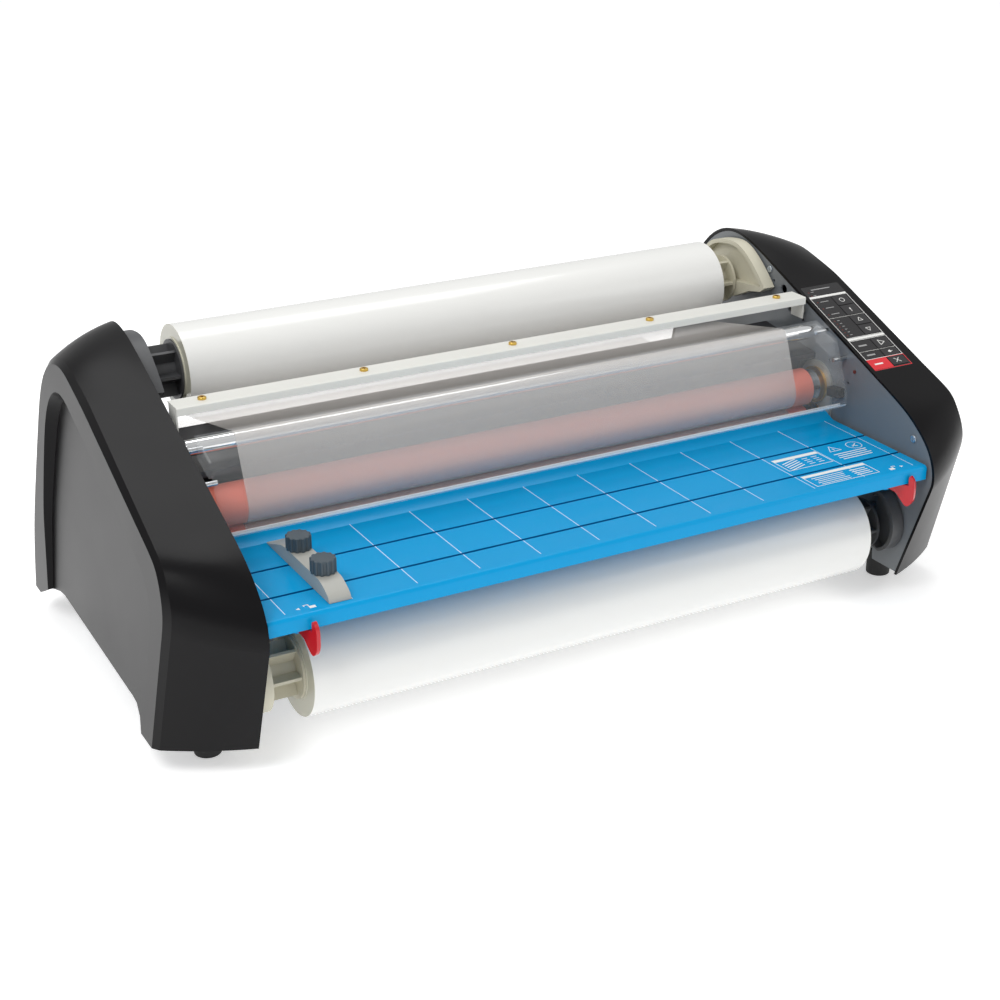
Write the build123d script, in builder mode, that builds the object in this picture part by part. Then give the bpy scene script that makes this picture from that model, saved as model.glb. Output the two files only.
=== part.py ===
"""Desktop thermal roll laminator, 27 inch film width, free standing on four rubber feet.

Millimetres, +Z up, +X to the operator's right, the operator stands at -Y.
Origin: middle of the footprint, on the surface that the feet stand on.
"""
import math
import os

from build123d import *

os.makedirs("parts", exist_ok=True)

# ---------------------------------------------------------------- driving dimensions
FLOOR_TO_COVER = 27.0        # air under the side covers
FRAME_X = 368.0              # inner face of each side frame
FRAME_T = 2.0                # side frame sheet
RIM_X = 452.8                # outer face of a side cover, taken at floor level
LEAN = 0.05                  # inward lean of the outer face per mm of height
EDGE_X = 5.0                 # width of the bevel between outer face and top band
WALL = 3.5                   # side cover wall
MIDDLE = (20.0, 150.0)       # middle of the side outline, walls are drawn in towards it

TABLE_Z = 167.0              # top of the feed table
TABLE_HALF = 364.6
TABLE_FRONT = -241.0
SLOT_Y = (-197.5, -142.2)    # front and rear T-slot of the table
SLOT_W = 3.2

HEAT_Y = -53.0               # both heated rollers, one above the other
NIP_Z = 177.0
HEAT_R = 20.4                # over the silicone
HEAT_CORE_R = 17.8
HEAT_SPACING = 42.0
SLEEVE_HALF = 347.0
JOURNAL_R = 12.0
HEATER_BORE_R = 9.0
PULL_Y = 65.0
PULL_R = 15.9
PULL_SPACING = 33.0
RUN_FIT = 0.05               # radial clearance of a running fit

FILM_X = (-314.0, 322.0)     # ends of both film rolls
CORE_BORE_R = 28.575         # 57.15 mm core
CORE_R = 32.6
UPPER_ROLL = (112.0, 279.5, 45.4)     # y, z, radius
LOWER_ROLL = (-166.5, 77.3, 48.1)
SHAFT_R = 6.0
WEB_T = 0.4
WEB_GAP = 0.35

IDLER_R = 8.0
UPPER_IDLER = (-43.0, 257.0)
LOWER_IDLER = (-96.0, 118.0)

GEAR_M = 1.5
GEAR_X = (374.0, 382.0)
HEAT_TEETH = 28
PULL_TEETH = 22
IDLER_TEETH = 60
PINION_TEETH = 15

FOOT_X = 395.0
FOOT_Y = (-148.0, 196.0)
FLANGE_Z = 56.0              # underside of the frame's outward flange

GUIDE_X = -293.5
GUIDE_W = 21.0
KNOB_R = 12.0

PANEL_MID = (397.5, -74.5, 266.3)
PANEL_TILT = 22.4
PANEL_W = 52.0
PANEL_L = 147.0
PANEL_T = 1.2

made = []


def keep(block, label):
    """Name a finished piece, write it and print its size."""
    block.part.label = label
    export_step(block.part, f"parts/{label}.step")
    made.append(label)


def side_plane(x, lean=LEAN):
    """Upright plane facing +X that leans inward; its sketches are drawn in (y, z)."""
    return Plane(origin=(x, 0, 0), x_dir=(0, 1, 0), z_dir=(1, 0, lean))


# ---------------------------------------------------------------- side outline
# Nose: foot, top of the front face, two points of the nose, start of the slope.
# Crest: end of the slope, crown, back, rear foot. The slope is one plane in every section.
SLOPE_START = (-165.0, 229.0)
SLOPE_END = (0.0, 297.0)

INNER = (
    [(-208, 27), (-249, 142), (-243, 177), (-218, 202), SLOPE_START],
    [SLOPE_END, (52, 318), (95, 332), (122, 334), (151, 324), (178, 300), (210, 243), (238, 145), (250, 27)],
)
EDGE = (
    [(-168, 27), (-208, 158), (-211, 180), (-199, 207), SLOPE_START],
    [SLOPE_END, (42, 310), (76, 317), (104, 314), (133, 301), (154, 277), (178, 229), (209, 135), (224, 27)],
)
RIM = (
    [(-161, 27), (-199, 156), (-202, 180), (-192, 207), (-162, 226)],
    [(0, 289), (42, 303), (74, 311), (98, 309.5), (124, 299), (145, 279), (168, 230), (199, 135), (216, 27)],
)


def moved(point, amount):
    """The point moved away from the middle of the outline, or towards it if negative."""
    dy, dz = point[0] - MIDDLE[0], point[1] - MIDDLE[1]
    far = math.hypot(dy, dz)
    return (point[0] + dy / far * amount, point[1] + dz / far * amount)


def crowned(a, b, crown):
    """Outline halfway between two others, swollen everywhere except along the slope."""
    halfway = []
    for run_a, run_b in zip(a, b):
        run = []
        for p, q in zip(run_a, run_b):
            mid = ((p[0] + q[0]) / 2, (p[1] + q[1]) / 2)
            run.append(mid if p in (SLOPE_START, SLOPE_END) else moved(mid, crown))
        halfway.append(run)
    halfway[0][0] = (halfway[0][0][0], FLOOR_TO_COVER)
    halfway[1][-1] = (halfway[1][-1][0], FLOOR_TO_COVER)
    return tuple(halfway)


def inset(outline, amount, foot_z):
    """Outline drawn in by a wall thickness, its open bottom at foot_z."""
    nose = [moved(p, -amount) for p in outline[0]]
    crest = [moved(p, -amount) for p in outline[1]]
    (foot_y, low_z), (front_y, front_z) = outline[0][:2]
    rake = (foot_y - front_y) / (low_z - front_z)
    nose[0] = (nose[1][0] + rake * (foot_z - nose[1][1]), foot_z)
    crest[-1] = (outline[1][-1][0] - amount, foot_z)
    return nose, crest


def outline_face(outline):
    """Face inside a side outline, to be added to a sketch."""
    nose, crest = outline
    slope = (crest[0][0] - nose[-1][0], crest[0][1] - nose[-1][1])
    front = (nose[1][0] - nose[0][0], nose[1][1] - nose[0][1])
    with BuildSketch(Plane.XY) as drawn:
        with BuildLine():
            Line(nose[0], nose[1])
            Spline(nose[1:], tangents=[front, slope])
            Line(nose[-1], crest[0])
            Spline(crest, tangents=[slope, (0.05, -1)])
            Line(crest[-1], nose[0])
        make_face()
    return drawn.sketch


# ---------------------------------------------------------------- side covers
# Recess of the outer face: an arch, deepest at the top rear and running out at the front.
RECESS = (
    [(-140, 20), (-163, 127), (-169, 166), (-150, 198)],
    [(20, 265), (52, 277), (82, 284), (110, 277), (132, 256), (150, 214), (165, 150), (168, 20)],
)


def recess_face(draw_in):
    """Face inside the recess outline, drawn in by an amount."""
    nose = [moved(p, -draw_in) for p in RECESS[0]]
    crest = [moved(p, -draw_in) for p in RECESS[1]]
    nose[0] = (nose[0][0], 20)
    crest[-1] = (crest[-1][0], 20)
    slope = (crest[0][0] - nose[-1][0], crest[0][1] - nose[-1][1])
    with BuildSketch(Plane.XY) as drawn:
        with BuildLine():
            Spline(nose, tangents=[(-0.2, 1), slope])
            Line(nose[-1], crest[0])
            Spline(crest, tangents=[slope, (0, -1)])
            Line(crest[-1], nose[0])
        make_face()
    return drawn.sketch


def recess_floor(lift):
    """Plane of the recess floor: 12 mm deep at the top rear, flush at the front foot."""
    deep_y, deep_z = 0.0205, 0.0348
    return Plane(
        origin=(RIM_X - 0.15 - lift, 0, 0), x_dir=(0, 1, 0), z_dir=(1, deep_y, deep_z + LEAN)
    )


def recess_tool(grow, lift):
    """Solid that fills the recess, or with grow and lift the recess and its backing."""
    with BuildPart() as tool:
        with BuildSketch(side_plane(RIM_X + 1)):
            add(recess_face(-grow))
        with BuildSketch(side_plane(RIM_X - 20)):
            add(recess_face(10 - grow))
        loft()
        split(bisect_by=recess_floor(lift), keep=Keep.TOP)
    return tool.part


recess = recess_tool(0, 0)
recess_back = recess_tool(3.2, 3.2)

with BuildPart() as cover_cavity:
    # straight-sided seat round the side frame, then the hollow that follows the shell
    with BuildSketch(side_plane(FRAME_X - 10, 0)):
        add(outline_face(inset(INNER, WALL, 10)))
    extrude(amount=10 + FRAME_T + 0.3)
    with BuildSketch(side_plane(FRAME_X - 0.5, 0)):
        add(outline_face(inset(INNER, WALL, 10)))
    with BuildSketch(side_plane(408, LEAN / 2)):
        add(outline_face(inset(crowned(INNER, EDGE, 3.5), WALL, 10)))
    with BuildSketch(side_plane(RIM_X - 4.2)):
        add(outline_face(inset(EDGE, WALL + 2, 10)))
    loft()
    add(recess_back, mode=Mode.SUBTRACT)

PANEL = Plane(
    origin=PANEL_MID,
    x_dir=(1, 0, 0),
    z_dir=(0, -math.sin(math.radians(PANEL_TILT)), math.cos(math.radians(PANEL_TILT))),
)


def cover_shell():
    """Right-hand cover without its control panel opening."""
    with BuildPart() as shell:
        with BuildSketch(side_plane(FRAME_X - 0.5, 0)):
            add(outline_face(INNER))
        with BuildSketch(side_plane(408, LEAN / 2)):
            add(outline_face(crowned(INNER, EDGE, 3.5)))
        with BuildSketch(side_plane(RIM_X - EDGE_X)):
            add(outline_face(EDGE))
        loft()
        with BuildSketch(side_plane(RIM_X - EDGE_X)):
            add(outline_face(EDGE))
        with BuildSketch(side_plane(RIM_X)):
            add(outline_face(RIM))
        loft(ruled=True)
        add(cover_cavity.part, mode=Mode.SUBTRACT)
        add(recess, mode=Mode.SUBTRACT)
        # arched underside between the front and the rear foot
        with BuildSketch(Plane.YZ.offset(FRAME_X - 4)):
            with BuildLine():
                Polyline((-133, 10), (-130, 44), (-122, 54), (-110, 56), (120, 56), (138, 53), (168, 43), (200, 26))
                Line((200, 26), (204, 10))
                Line((204, 10), (-133, 10))
            make_face()
        extrude(amount=100, mode=Mode.SUBTRACT)
    return shell


with BuildPart() as left_cover:
    add(mirror(cover_shell().part, about=Plane.YZ))
keep(left_cover, "left_cover")

KEY_X = (1.5, 22.0)
KEY_ROWS = (
    ("standby_key", 52.0, 35.2),
    ("preheat_key", 34.4, 17.8),
    ("speed_up_key", 17.0, 0.4),
    ("speed_down_key", -0.4, -17.2),
    ("run_key", -23.4, -41.2),
    ("reverse_key", -42.0, -54.2),
    ("stop_key", -56.0, -70.0),
)
KEY_GAP = 0.4
STATUS_DOTS = ((-20, 64), (-20, 58), (-20, 46), (-20, 35), (-20, 24))
SPEED_DOTS = [(-20, 5.0 * step) for step in (-2.5, -1.5, -0.5, 0.5, 1.5, 2.5)]

with BuildPart() as right_cover:
    add(cover_shell().part)
    # flat seat for the overlay, and the window under it
    with BuildSketch(PANEL.offset(-PANEL_T)):
        RectangleRounded(PANEL_W + 0.4, PANEL_L + 0.4, 2.2)
    extrude(amount=12, mode=Mode.SUBTRACT)
    with BuildSketch(PANEL.offset(-PANEL_T)):
        Rectangle(PANEL_W - 5, PANEL_L - 4)
    extrude(amount=-12, mode=Mode.SUBTRACT)
keep(right_cover, "right_cover")

# ---------------------------------------------------------------- control panel
with BuildPart() as control_overlay:
    with BuildSketch(PANEL.offset(-PANEL_T)):
        RectangleRounded(PANEL_W, PANEL_L, 2)
        for label, top, bottom in KEY_ROWS:
            with Locations(((KEY_X[0] + KEY_X[1]) / 2, (top + bottom) / 2)):
                Rectangle(KEY_X[1] - KEY_X[0], top - bottom, mode=Mode.SUBTRACT)
        with Locations(*STATUS_DOTS):
            Circle(1.3, mode=Mode.SUBTRACT)
        with Locations(*SPEED_DOTS):
            Circle(1.3, mode=Mode.SUBTRACT)
    extrude(amount=PANEL_T)
keep(control_overlay, "control_overlay")

KEY_TOP = 0.5
FLANGE_TOP = -PANEL_T - 0.3
FLANGE_LOW = FLANGE_TOP - 1.0
KEY_TRAVEL = 0.8
for label, top, bottom in KEY_ROWS:
    wide, tall = KEY_X[1] - KEY_X[0] - 2 * KEY_GAP, top - bottom - 2 * KEY_GAP
    with BuildPart() as key:
        with BuildSketch(PANEL.offset(FLANGE_LOW)):
            with Locations(((KEY_X[0] + KEY_X[1]) / 2, (top + bottom) / 2)):
                Rectangle(wide + 0.9, tall + 0.9)
        extrude(amount=FLANGE_TOP - FLANGE_LOW)
        with BuildSketch(PANEL.offset(FLANGE_TOP)):
            with Locations(((KEY_X[0] + KEY_X[1]) / 2, (top + bottom) / 2)):
                RectangleRounded(wide, tall, 1.2)
        extrude(amount=KEY_TOP - FLANGE_TOP)
    keep(key, label)

SWITCH_TOP = FLANGE_LOW - KEY_TRAVEL - 0.2
BOARD_TOP = SWITCH_TOP - 3.5
with BuildPart() as control_board:
    with BuildSketch(PANEL.offset(BOARD_TOP - 1.6)):
        Rectangle(PANEL_W - 8, PANEL_L - 8)
    extrude(amount=1.6)
    # pillars up to the overlay
    with BuildSketch(PANEL.offset(BOARD_TOP)):
        with Locations((-9, 67), (20, 67), (-9, -67), (-9, 0)):
            Circle(1.8)
    extrude(amount=-PANEL_T - BOARD_TOP)
    for label, top, bottom in KEY_ROWS:
        with BuildSketch(PANEL.offset(BOARD_TOP)):
            with Locations(((KEY_X[0] + KEY_X[1]) / 2, (top + bottom) / 2)):
                Rectangle(6, 6)
        extrude(amount=3.5)
keep(control_board, "control_board")

with BuildPart() as indicator_lights:
    with BuildSketch(PANEL.offset(BOARD_TOP)):
        with Locations(*STATUS_DOTS):
            Circle(1.1)
        with Locations(*SPEED_DOTS):
            Circle(1.1)
    extrude(amount=-BOARD_TOP - 0.1)
    with BuildSketch(Plane.YZ.offset(FRAME_X - 1.5)):
        with Locations((-114, 230)):
            Circle(1.9)
    extrude(amount=6)
keep(indicator_lights, "indicator_lights")

# ---------------------------------------------------------------- places on the side frames
ARCH_HOLES = (
    (148, 312), (130, 320), (112, 323), (94, 320), (76, 314), (60, 308), (45, 301), (36, 293),
    (69, 304), (52, 296),
)
PLUG_HOLES = ((17, 288), (3, 270))
SMALL_HOLES = ((-97, 242), (-104, 214), (-70, 230), (-20, 262), (-190, 60))
SCREWS = ((44, 304.5), (-214, 187), (-118, 72), (190, 240), (212, 80))
UPPER_HEAT = (HEAT_Y, NIP_Z + HEAT_SPACING / 2)
LOWER_HEAT = (HEAT_Y, NIP_Z - HEAT_SPACING / 2)
UPPER_PULL = (PULL_Y, NIP_Z + PULL_SPACING / 2)
LOWER_PULL = (PULL_Y, NIP_Z - PULL_SPACING / 2)
BUSH_R = 16.0
IDLER_PIN_R = 5.0
PIVOT = (-64.0, 263.0)       # hinge pins of the safety shield
SHIELD_STOP = (-96.8, 241.0)
PIN_R = 2.5

# ---------------------------------------------------------------- gear shapes
PRESSURE = math.radians(20)
BACKLASH = 0.12              # thinning of each tooth, mm at the pitch circle


def pitch_r(teeth):
    return GEAR_M * teeth / 2


def involute(angle):
    return math.tan(angle) - angle


def gear(teeth, centre, phase, bore, x=GEAR_X, hub=0.0, lighten=0.0):
    """Spur gear about an axis along X; phase is the angle of one tooth's middle."""
    ref, tip, root = pitch_r(teeth), pitch_r(teeth) + GEAR_M, pitch_r(teeth) - 1.25 * GEAR_M
    base = ref * math.cos(PRESSURE)
    half_tooth = (math.pi * GEAR_M / 2 - BACKLASH) / (2 * ref) + involute(PRESSURE)
    points = []
    for tooth in range(teeth):
        mid = phase + tooth * 2 * math.pi / teeth
        flank = []
        for radius in (max(base, root + 0.3), ref, (ref + tip) / 2, tip):
            lean = involute(math.acos(min(1, base / radius)))
            flank.append((radius, half_tooth - lean))
        foot_angle = flank[0][1]
        points.append((root, mid - foot_angle))
        points += [(radius, mid - angle) for radius, angle in flank]
        points += [(radius, mid + angle) for radius, angle in reversed(flank)]
        points.append((root, mid + foot_angle))
    outline = [(r * math.cos(a), r * math.sin(a)) for r, a in points]
    with BuildPart() as wheel:
        with BuildSketch(Plane(origin=(x[0], *centre), x_dir=(0, 1, 0), z_dir=(1, 0, 0))):
            Polygon(*outline, align=None)
            Circle(bore, mode=Mode.SUBTRACT)
            if lighten:
                with PolarLocations(ref * 0.58, 5):
                    Circle(lighten, mode=Mode.SUBTRACT)
        extrude(amount=x[1] - x[0])
        if hub:
            with BuildSketch(Plane(origin=(x[1], *centre), x_dir=(0, 1, 0), z_dir=(1, 0, 0))):
                Circle(hub)
                Circle(bore, mode=Mode.SUBTRACT)
            extrude(amount=2.5)
    return wheel.part


def meshed(phase, teeth, own_centre, next_teeth, next_centre):
    """Phase of a gear that meshes with one whose phase is known."""
    line = math.atan2(next_centre[1] - own_centre[1], next_centre[0] - own_centre[0])
    pitch, next_pitch = 2 * math.pi / teeth, 2 * math.pi / next_teeth
    return line + math.pi + next_pitch / 2 - (phase - line) / pitch * next_pitch


def idler_centre():
    """Point one mesh away from both the lower heated roller and the lower pull roller."""
    reach = pitch_r(HEAT_TEETH) + pitch_r(IDLER_TEETH)
    other = pitch_r(PULL_TEETH) + pitch_r(IDLER_TEETH)
    dy, dz = LOWER_PULL[0] - LOWER_HEAT[0], LOWER_PULL[1] - LOWER_HEAT[1]
    apart = math.hypot(dy, dz)
    along = (reach**2 - other**2 + apart**2) / (2 * apart)
    drop = math.sqrt(reach**2 - along**2)
    return (
        LOWER_HEAT[0] + (along * dy + drop * dz) / apart,
        LOWER_HEAT[1] + (along * dz - drop * dy) / apart,
    )


# ---------------------------------------------------------------- side frames
def side_frame():
    """Right-hand frame: sheet with an outward flange."""
    with BuildPart() as frame:
        with BuildSketch(Plane.YZ.offset(FRAME_X)):
            add(outline_face(inset(INNER, WALL + 0.4, 10)))
            with Locations((20, 0)):
                Rectangle(600, 60, mode=Mode.SUBTRACT)
            with BuildLine():
                Polyline((-168, 20), (-166, 42), (-120, 56), (120, 56), (150, 52), (200, 36), (206, 20))
                Line((206, 20), (-168, 20))
            make_face(mode=Mode.SUBTRACT)
            with Locations(*ARCH_HOLES):
                Circle(1.8, mode=Mode.SUBTRACT)
            with Locations(*PLUG_HOLES):
                Circle(5.2, mode=Mode.SUBTRACT)
            with Locations(*SMALL_HOLES):
                Circle(1.6, mode=Mode.SUBTRACT)
            with Locations(*SCREWS):
                Circle(2.0, mode=Mode.SUBTRACT)
            with Locations((-114, 230)):
                Circle(1.9, mode=Mode.SUBTRACT)
            with Locations(UPPER_HEAT, LOWER_HEAT):
                Circle(BUSH_R, mode=Mode.SUBTRACT)
            with Locations(UPPER_PULL, LOWER_PULL):
                Circle(12.0, mode=Mode.SUBTRACT)
            with Locations(UPPER_ROLL[:2], LOWER_ROLL[:2]):
                Circle(SHAFT_R, mode=Mode.SUBTRACT)
            with Locations(UPPER_IDLER, LOWER_IDLER):
                Circle(IDLER_R - 2, mode=Mode.SUBTRACT)
        extrude(amount=FRAME_T)
        with BuildSketch(Plane.XY.offset(FLANGE_Z)):
            with Locations((FRAME_X + FRAME_T, 20)):
                Rectangle(62, 372, align=(Align.MIN, Align.CENTER))
        extrude(amount=2)
    return frame


with BuildPart() as right_side_frame:
    add(side_frame().part)
keep(right_side_frame, "right_side_frame")

with BuildPart() as left_side_frame:
    add(mirror(side_frame().part, about=Plane.YZ))
keep(left_side_frame, "left_side_frame")

# ---------------------------------------------------------------- feet and fasteners
with BuildPart() as rubber_feet:
    with Locations(*[(sx * FOOT_X, y, 0) for sx in (-1, 1) for y in FOOT_Y]):
        Cylinder(13, 30, align=(Align.CENTER, Align.CENTER, Align.MIN))
        with Locations((0, 0, 30)):
            Cylinder(10, FLANGE_Z - 30, align=(Align.CENTER, Align.CENTER, Align.MIN))
    fillet(rubber_feet.edges().group_by(Axis.Z)[0], 1.5)
keep(rubber_feet, "rubber_feet")


def pan_head(radius, length, shank):
    """Pan head screw standing on Z = 0 with a cross recess, its shank pointing down."""
    with BuildPart() as screw:
        Cylinder(radius, length, align=(Align.CENTER, Align.CENTER, Align.MIN))
        fillet(screw.edges().group_by(Axis.Z)[-1], 0.9)
        with BuildSketch(Plane.XY.offset(length)):
            Rectangle(radius * 1.1, radius * 0.3)
            Rectangle(radius * 0.3, radius * 1.1)
        extrude(amount=-length * 0.5, mode=Mode.SUBTRACT)
        with BuildSketch(Plane.XY):
            Circle(shank)
        extrude(amount=-2.4)
    return screw.part


frame_screw = pan_head(4, 1.6, 2)      # low head, under the swing of the levers
with BuildPart() as frame_screws:
    with Locations(*[Location((FRAME_X, y, z), (0, -90, 0)) for y, z in SCREWS]):
        add(frame_screw)
    with Locations(*[Location((-FRAME_X, y, z), (0, 90, 0)) for y, z in SCREWS]):
        add(frame_screw)
keep(frame_screws, "frame_screws")

RAIL_Y = (-30.0, -5.0)
RAIL_Z = 292.0
RAIL_T = 1.6
RAIL_SCREW_X = (-332, -166, 0, 166, 332)
with BuildPart() as cross_rail:
    with BuildSketch(Plane.YZ.offset(-362)):
        with BuildLine():
            Polyline(
                (RAIL_Y[1], RAIL_Z - RAIL_T), (RAIL_Y[1], RAIL_Z), (RAIL_Y[0], RAIL_Z),
                (RAIL_Y[0], RAIL_Z - 8), (RAIL_Y[0] + RAIL_T, RAIL_Z - 8),
                (RAIL_Y[0] + RAIL_T, RAIL_Z - RAIL_T), (RAIL_Y[1], RAIL_Z - RAIL_T),
            )
        make_face()
    extrude(amount=724)
    fillet(cross_rail.edges().filter_by(Axis.X).group_by(Axis.Z)[-1].sort_by(Axis.Y)[0], 1.5)
    # bent-down ends, each on a boss of the side frame
    for side in (-1, 1):
        with BuildSketch(Plane.YZ.offset(side * 360.4)):
            with Locations((-17.5, 279)):
                Rectangle(20, 24)
        extrude(amount=side * 1.6)
        with BuildSketch(Plane.YZ.offset(side * 362)):
            with Locations((-17.5, 273)):
                Circle(4)
        extrude(amount=side * (FRAME_X - 362))
    with BuildSketch(Plane.XY.offset(RAIL_Z)):
        with Locations(*[(x, -16) for x in RAIL_SCREW_X]):
            Circle(1.8)
    extrude(amount=-3, mode=Mode.SUBTRACT)
keep(cross_rail, "cross_rail")

rail_screw = pan_head(4.2, 2.6, 1.8)
with BuildPart() as rail_screws:
    with Locations(*[(x, -16, RAIL_Z) for x in RAIL_SCREW_X]):
        add(rail_screw)
keep(rail_screws, "rail_screws")

# ---------------------------------------------------------------- base, rear and heat guard
with BuildPart() as base_pan:
    with BuildSketch(Plane.YZ.offset(-FRAME_X)):
        with BuildLine():
            Polyline((-100, 76), (-100, 58), (226, 58), (226, 56.5), (-101.5, 56.5), (-101.5, 76), (-100, 76))
        make_face()
    extrude(amount=2 * FRAME_X)
keep(base_pan, "base_pan")

INLET_X, SWITCH_X, PORT_Z = -262.0, -229.0, 100.0
PANEL_BACK = 227.5
with BuildPart() as rear_panel:
    with BuildSketch(Plane.YZ.offset(-FRAME_X)):
        with BuildLine():
            Polyline(
                (226, 56.5), (226, 148), (96, 148), (96, 138), (94.5, 138), (94.5, 149.5),
                (PANEL_BACK, 149.5), (PANEL_BACK, 56.5), (226, 56.5),
            )
        make_face()
    extrude(amount=2 * FRAME_X)
    with BuildSketch(Plane.XZ.offset(-230)):
        with Locations(((INLET_X + SWITCH_X) / 2, PORT_Z)):
            Rectangle(60, 29)
        with Locations((120, PORT_Z)):
            with GridLocations(12, 0, 16, 1):
                SlotOverall(46, 4, rotation=90)
    extrude(amount=10, mode=Mode.SUBTRACT)
keep(rear_panel, "rear_panel")

INLET_HOLE = (24.5, 16.6)
ROCKER_HOLE = (19.0, 25.6)
ROCKER_W = 18.0
ROCKER_Y = 224.0
ROCKER_TILT = math.radians(8)
TRUNNION_R = 1.5
TRUNNION_HALF = 11.0
with BuildPart() as mains_inlet:
    # flange outside the panel, then the housing behind it
    for width, height, out, deep in ((68, 34, 2.5, 0.0), (59.6, 28.6, 0.0, 18.0)):
        with BuildSketch(Plane.XZ.offset(-PANEL_BACK - out)):
            with Locations(((INLET_X + SWITCH_X) / 2, PORT_Z)):
                RectangleRounded(width, height, 2)
            with Locations((INLET_X, PORT_Z)):
                RectangleRounded(*INLET_HOLE, 2, mode=Mode.SUBTRACT)
            with Locations((SWITCH_X, PORT_Z)):
                Rectangle(*ROCKER_HOLE, mode=Mode.SUBTRACT)
        extrude(amount=out + deep)
    with BuildSketch(Plane.XZ.offset(-PANEL_BACK + 16)):
        with Locations((INLET_X, PORT_Z)):
            Rectangle(27.6, 19.6)
    extrude(amount=2)
    with BuildSketch(Plane.XZ.offset(-PANEL_BACK + 16)):
        with Locations((INLET_X - 7, PORT_Z - 2), (INLET_X, PORT_Z + 2), (INLET_X + 7, PORT_Z - 2)):
            Rectangle(2, 4)
    extrude(amount=-13)
    # blind holes that carry the rocker
    with BuildSketch(Plane.YZ.offset(SWITCH_X - TRUNNION_HALF - 0.5)):
        with Locations((ROCKER_Y, PORT_Z)):
            Circle(TRUNNION_R + RUN_FIT)
    extrude(amount=2 * TRUNNION_HALF + 1, mode=Mode.SUBTRACT)
keep(mains_inlet, "mains_inlet")

with BuildPart() as power_switch:
    rocker = Plane(
        origin=(SWITCH_X - ROCKER_W / 2, ROCKER_Y, PORT_Z),
        x_dir=(0, math.cos(ROCKER_TILT), math.sin(ROCKER_TILT)),
        z_dir=(1, 0, 0),
    )
    with BuildSketch(rocker):
        with BuildLine():
            Line((-6, -10), (7, -11.5))
            ThreePointArc((7, -11.5), (4.6, 0), (7, 11.5))
            Line((7, 11.5), (-6, 10))
            Line((-6, 10), (-6, -10))
        make_face()
    extrude(amount=ROCKER_W)
    with BuildSketch(Plane.YZ.offset(SWITCH_X - TRUNNION_HALF)):
        with Locations((ROCKER_Y, PORT_Z)):
            Circle(TRUNNION_R)
    extrude(amount=2 * TRUNNION_HALF)
keep(power_switch, "power_switch")

with BuildPart() as heat_guard:
    with BuildSketch(Plane.YZ.offset(-FRAME_X)):
        with BuildLine():
            Polyline(
                (-46, 226), (-46, 232), (46, 242.8), (46, 241.6), (-18, 234.1), (-18, 186),
                (-19.2, 186), (-19.2, 233.9), (-44.8, 230.9), (-44.8, 226), (-46, 226),
            )
        make_face()
    extrude(amount=2 * FRAME_X)
keep(heat_guard, "heat_guard")

# ---------------------------------------------------------------- heated rollers
RING_X = (362.0, 365.0)
PLATE_X = (365.0, 368.0)
BUSH_OUT_X = 372.0
JOURNAL_END = 384.5


def both_ends(part):
    """A right-hand part together with its mirror image on the left."""
    with BuildPart() as pair:
        add(part)
        add(mirror(part, about=Plane.YZ))
    return pair.part


def heat_roller(z):
    """Steel tube with turned-down journals, bored through for the heater lamp."""
    with BuildPart() as roller:
        with BuildSketch(Plane.YZ.offset(-358)):
            with Locations((HEAT_Y, z)):
                Circle(HEAT_CORE_R)
        extrude(amount=716)
        with BuildSketch(Plane.YZ.offset(-JOURNAL_END)):
            with Locations((HEAT_Y, z)):
                Circle(JOURNAL_R)
        extrude(amount=2 * JOURNAL_END)
        with BuildSketch(Plane.YZ.offset(-JOURNAL_END)):
            with Locations((HEAT_Y, z)):
                Circle(HEATER_BORE_R)
        extrude(amount=2 * JOURNAL_END, mode=Mode.SUBTRACT)
    return roller.part


def heat_sleeve(z):
    with BuildPart() as sleeve:
        with BuildSketch(Plane.YZ.offset(-SLEEVE_HALF)):
            with Locations((HEAT_Y, z)):
                Circle(HEAT_R)
                Circle(HEAT_CORE_R, mode=Mode.SUBTRACT)
        extrude(amount=2 * SLEEVE_HALF)
    return sleeve.part


with BuildPart() as upper_heat_roller:
    add(heat_roller(UPPER_HEAT[1]))
keep(upper_heat_roller, "upper_heat_roller")

with BuildPart() as lower_heat_roller:
    add(heat_roller(LOWER_HEAT[1]))
keep(lower_heat_roller, "lower_heat_roller")

with BuildPart() as upper_roller_sleeve:
    add(heat_sleeve(UPPER_HEAT[1]))
keep(upper_roller_sleeve, "upper_roller_sleeve")

with BuildPart() as lower_roller_sleeve:
    add(heat_sleeve(LOWER_HEAT[1]))
keep(lower_roller_sleeve, "lower_roller_sleeve")

with BuildPart() as right_bushes:
    for bush_z in (UPPER_HEAT[1], LOWER_HEAT[1]):
        with BuildSketch(Plane.YZ.offset(RING_X[0])):
            with Locations((HEAT_Y, bush_z)):
                Circle(20.4)
                Circle(JOURNAL_R + RUN_FIT, mode=Mode.SUBTRACT)
        extrude(amount=RING_X[1] - RING_X[0])
        with BuildSketch(Plane.YZ.offset(RING_X[1])):
            with Locations((HEAT_Y, bush_z)):
                Circle(BUSH_R)
                Circle(JOURNAL_R + RUN_FIT, mode=Mode.SUBTRACT)
        extrude(amount=BUSH_OUT_X - RING_X[1])
with BuildPart() as right_plates:
    with BuildSketch(Plane.YZ.offset(PLATE_X[0])):
        with Locations((HEAT_Y, NIP_Z)):
            SlotCenterToCenter(HEAT_SPACING, 54, rotation=90)
            with Locations((0, HEAT_SPACING / 2), (0, -HEAT_SPACING / 2)):
                Circle(BUSH_R, mode=Mode.SUBTRACT)
    extrude(amount=PLATE_X[1] - PLATE_X[0])
with BuildPart() as bearing_plates:
    add(both_ends(right_plates.part))
keep(bearing_plates, "bearing_plates")

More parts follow.
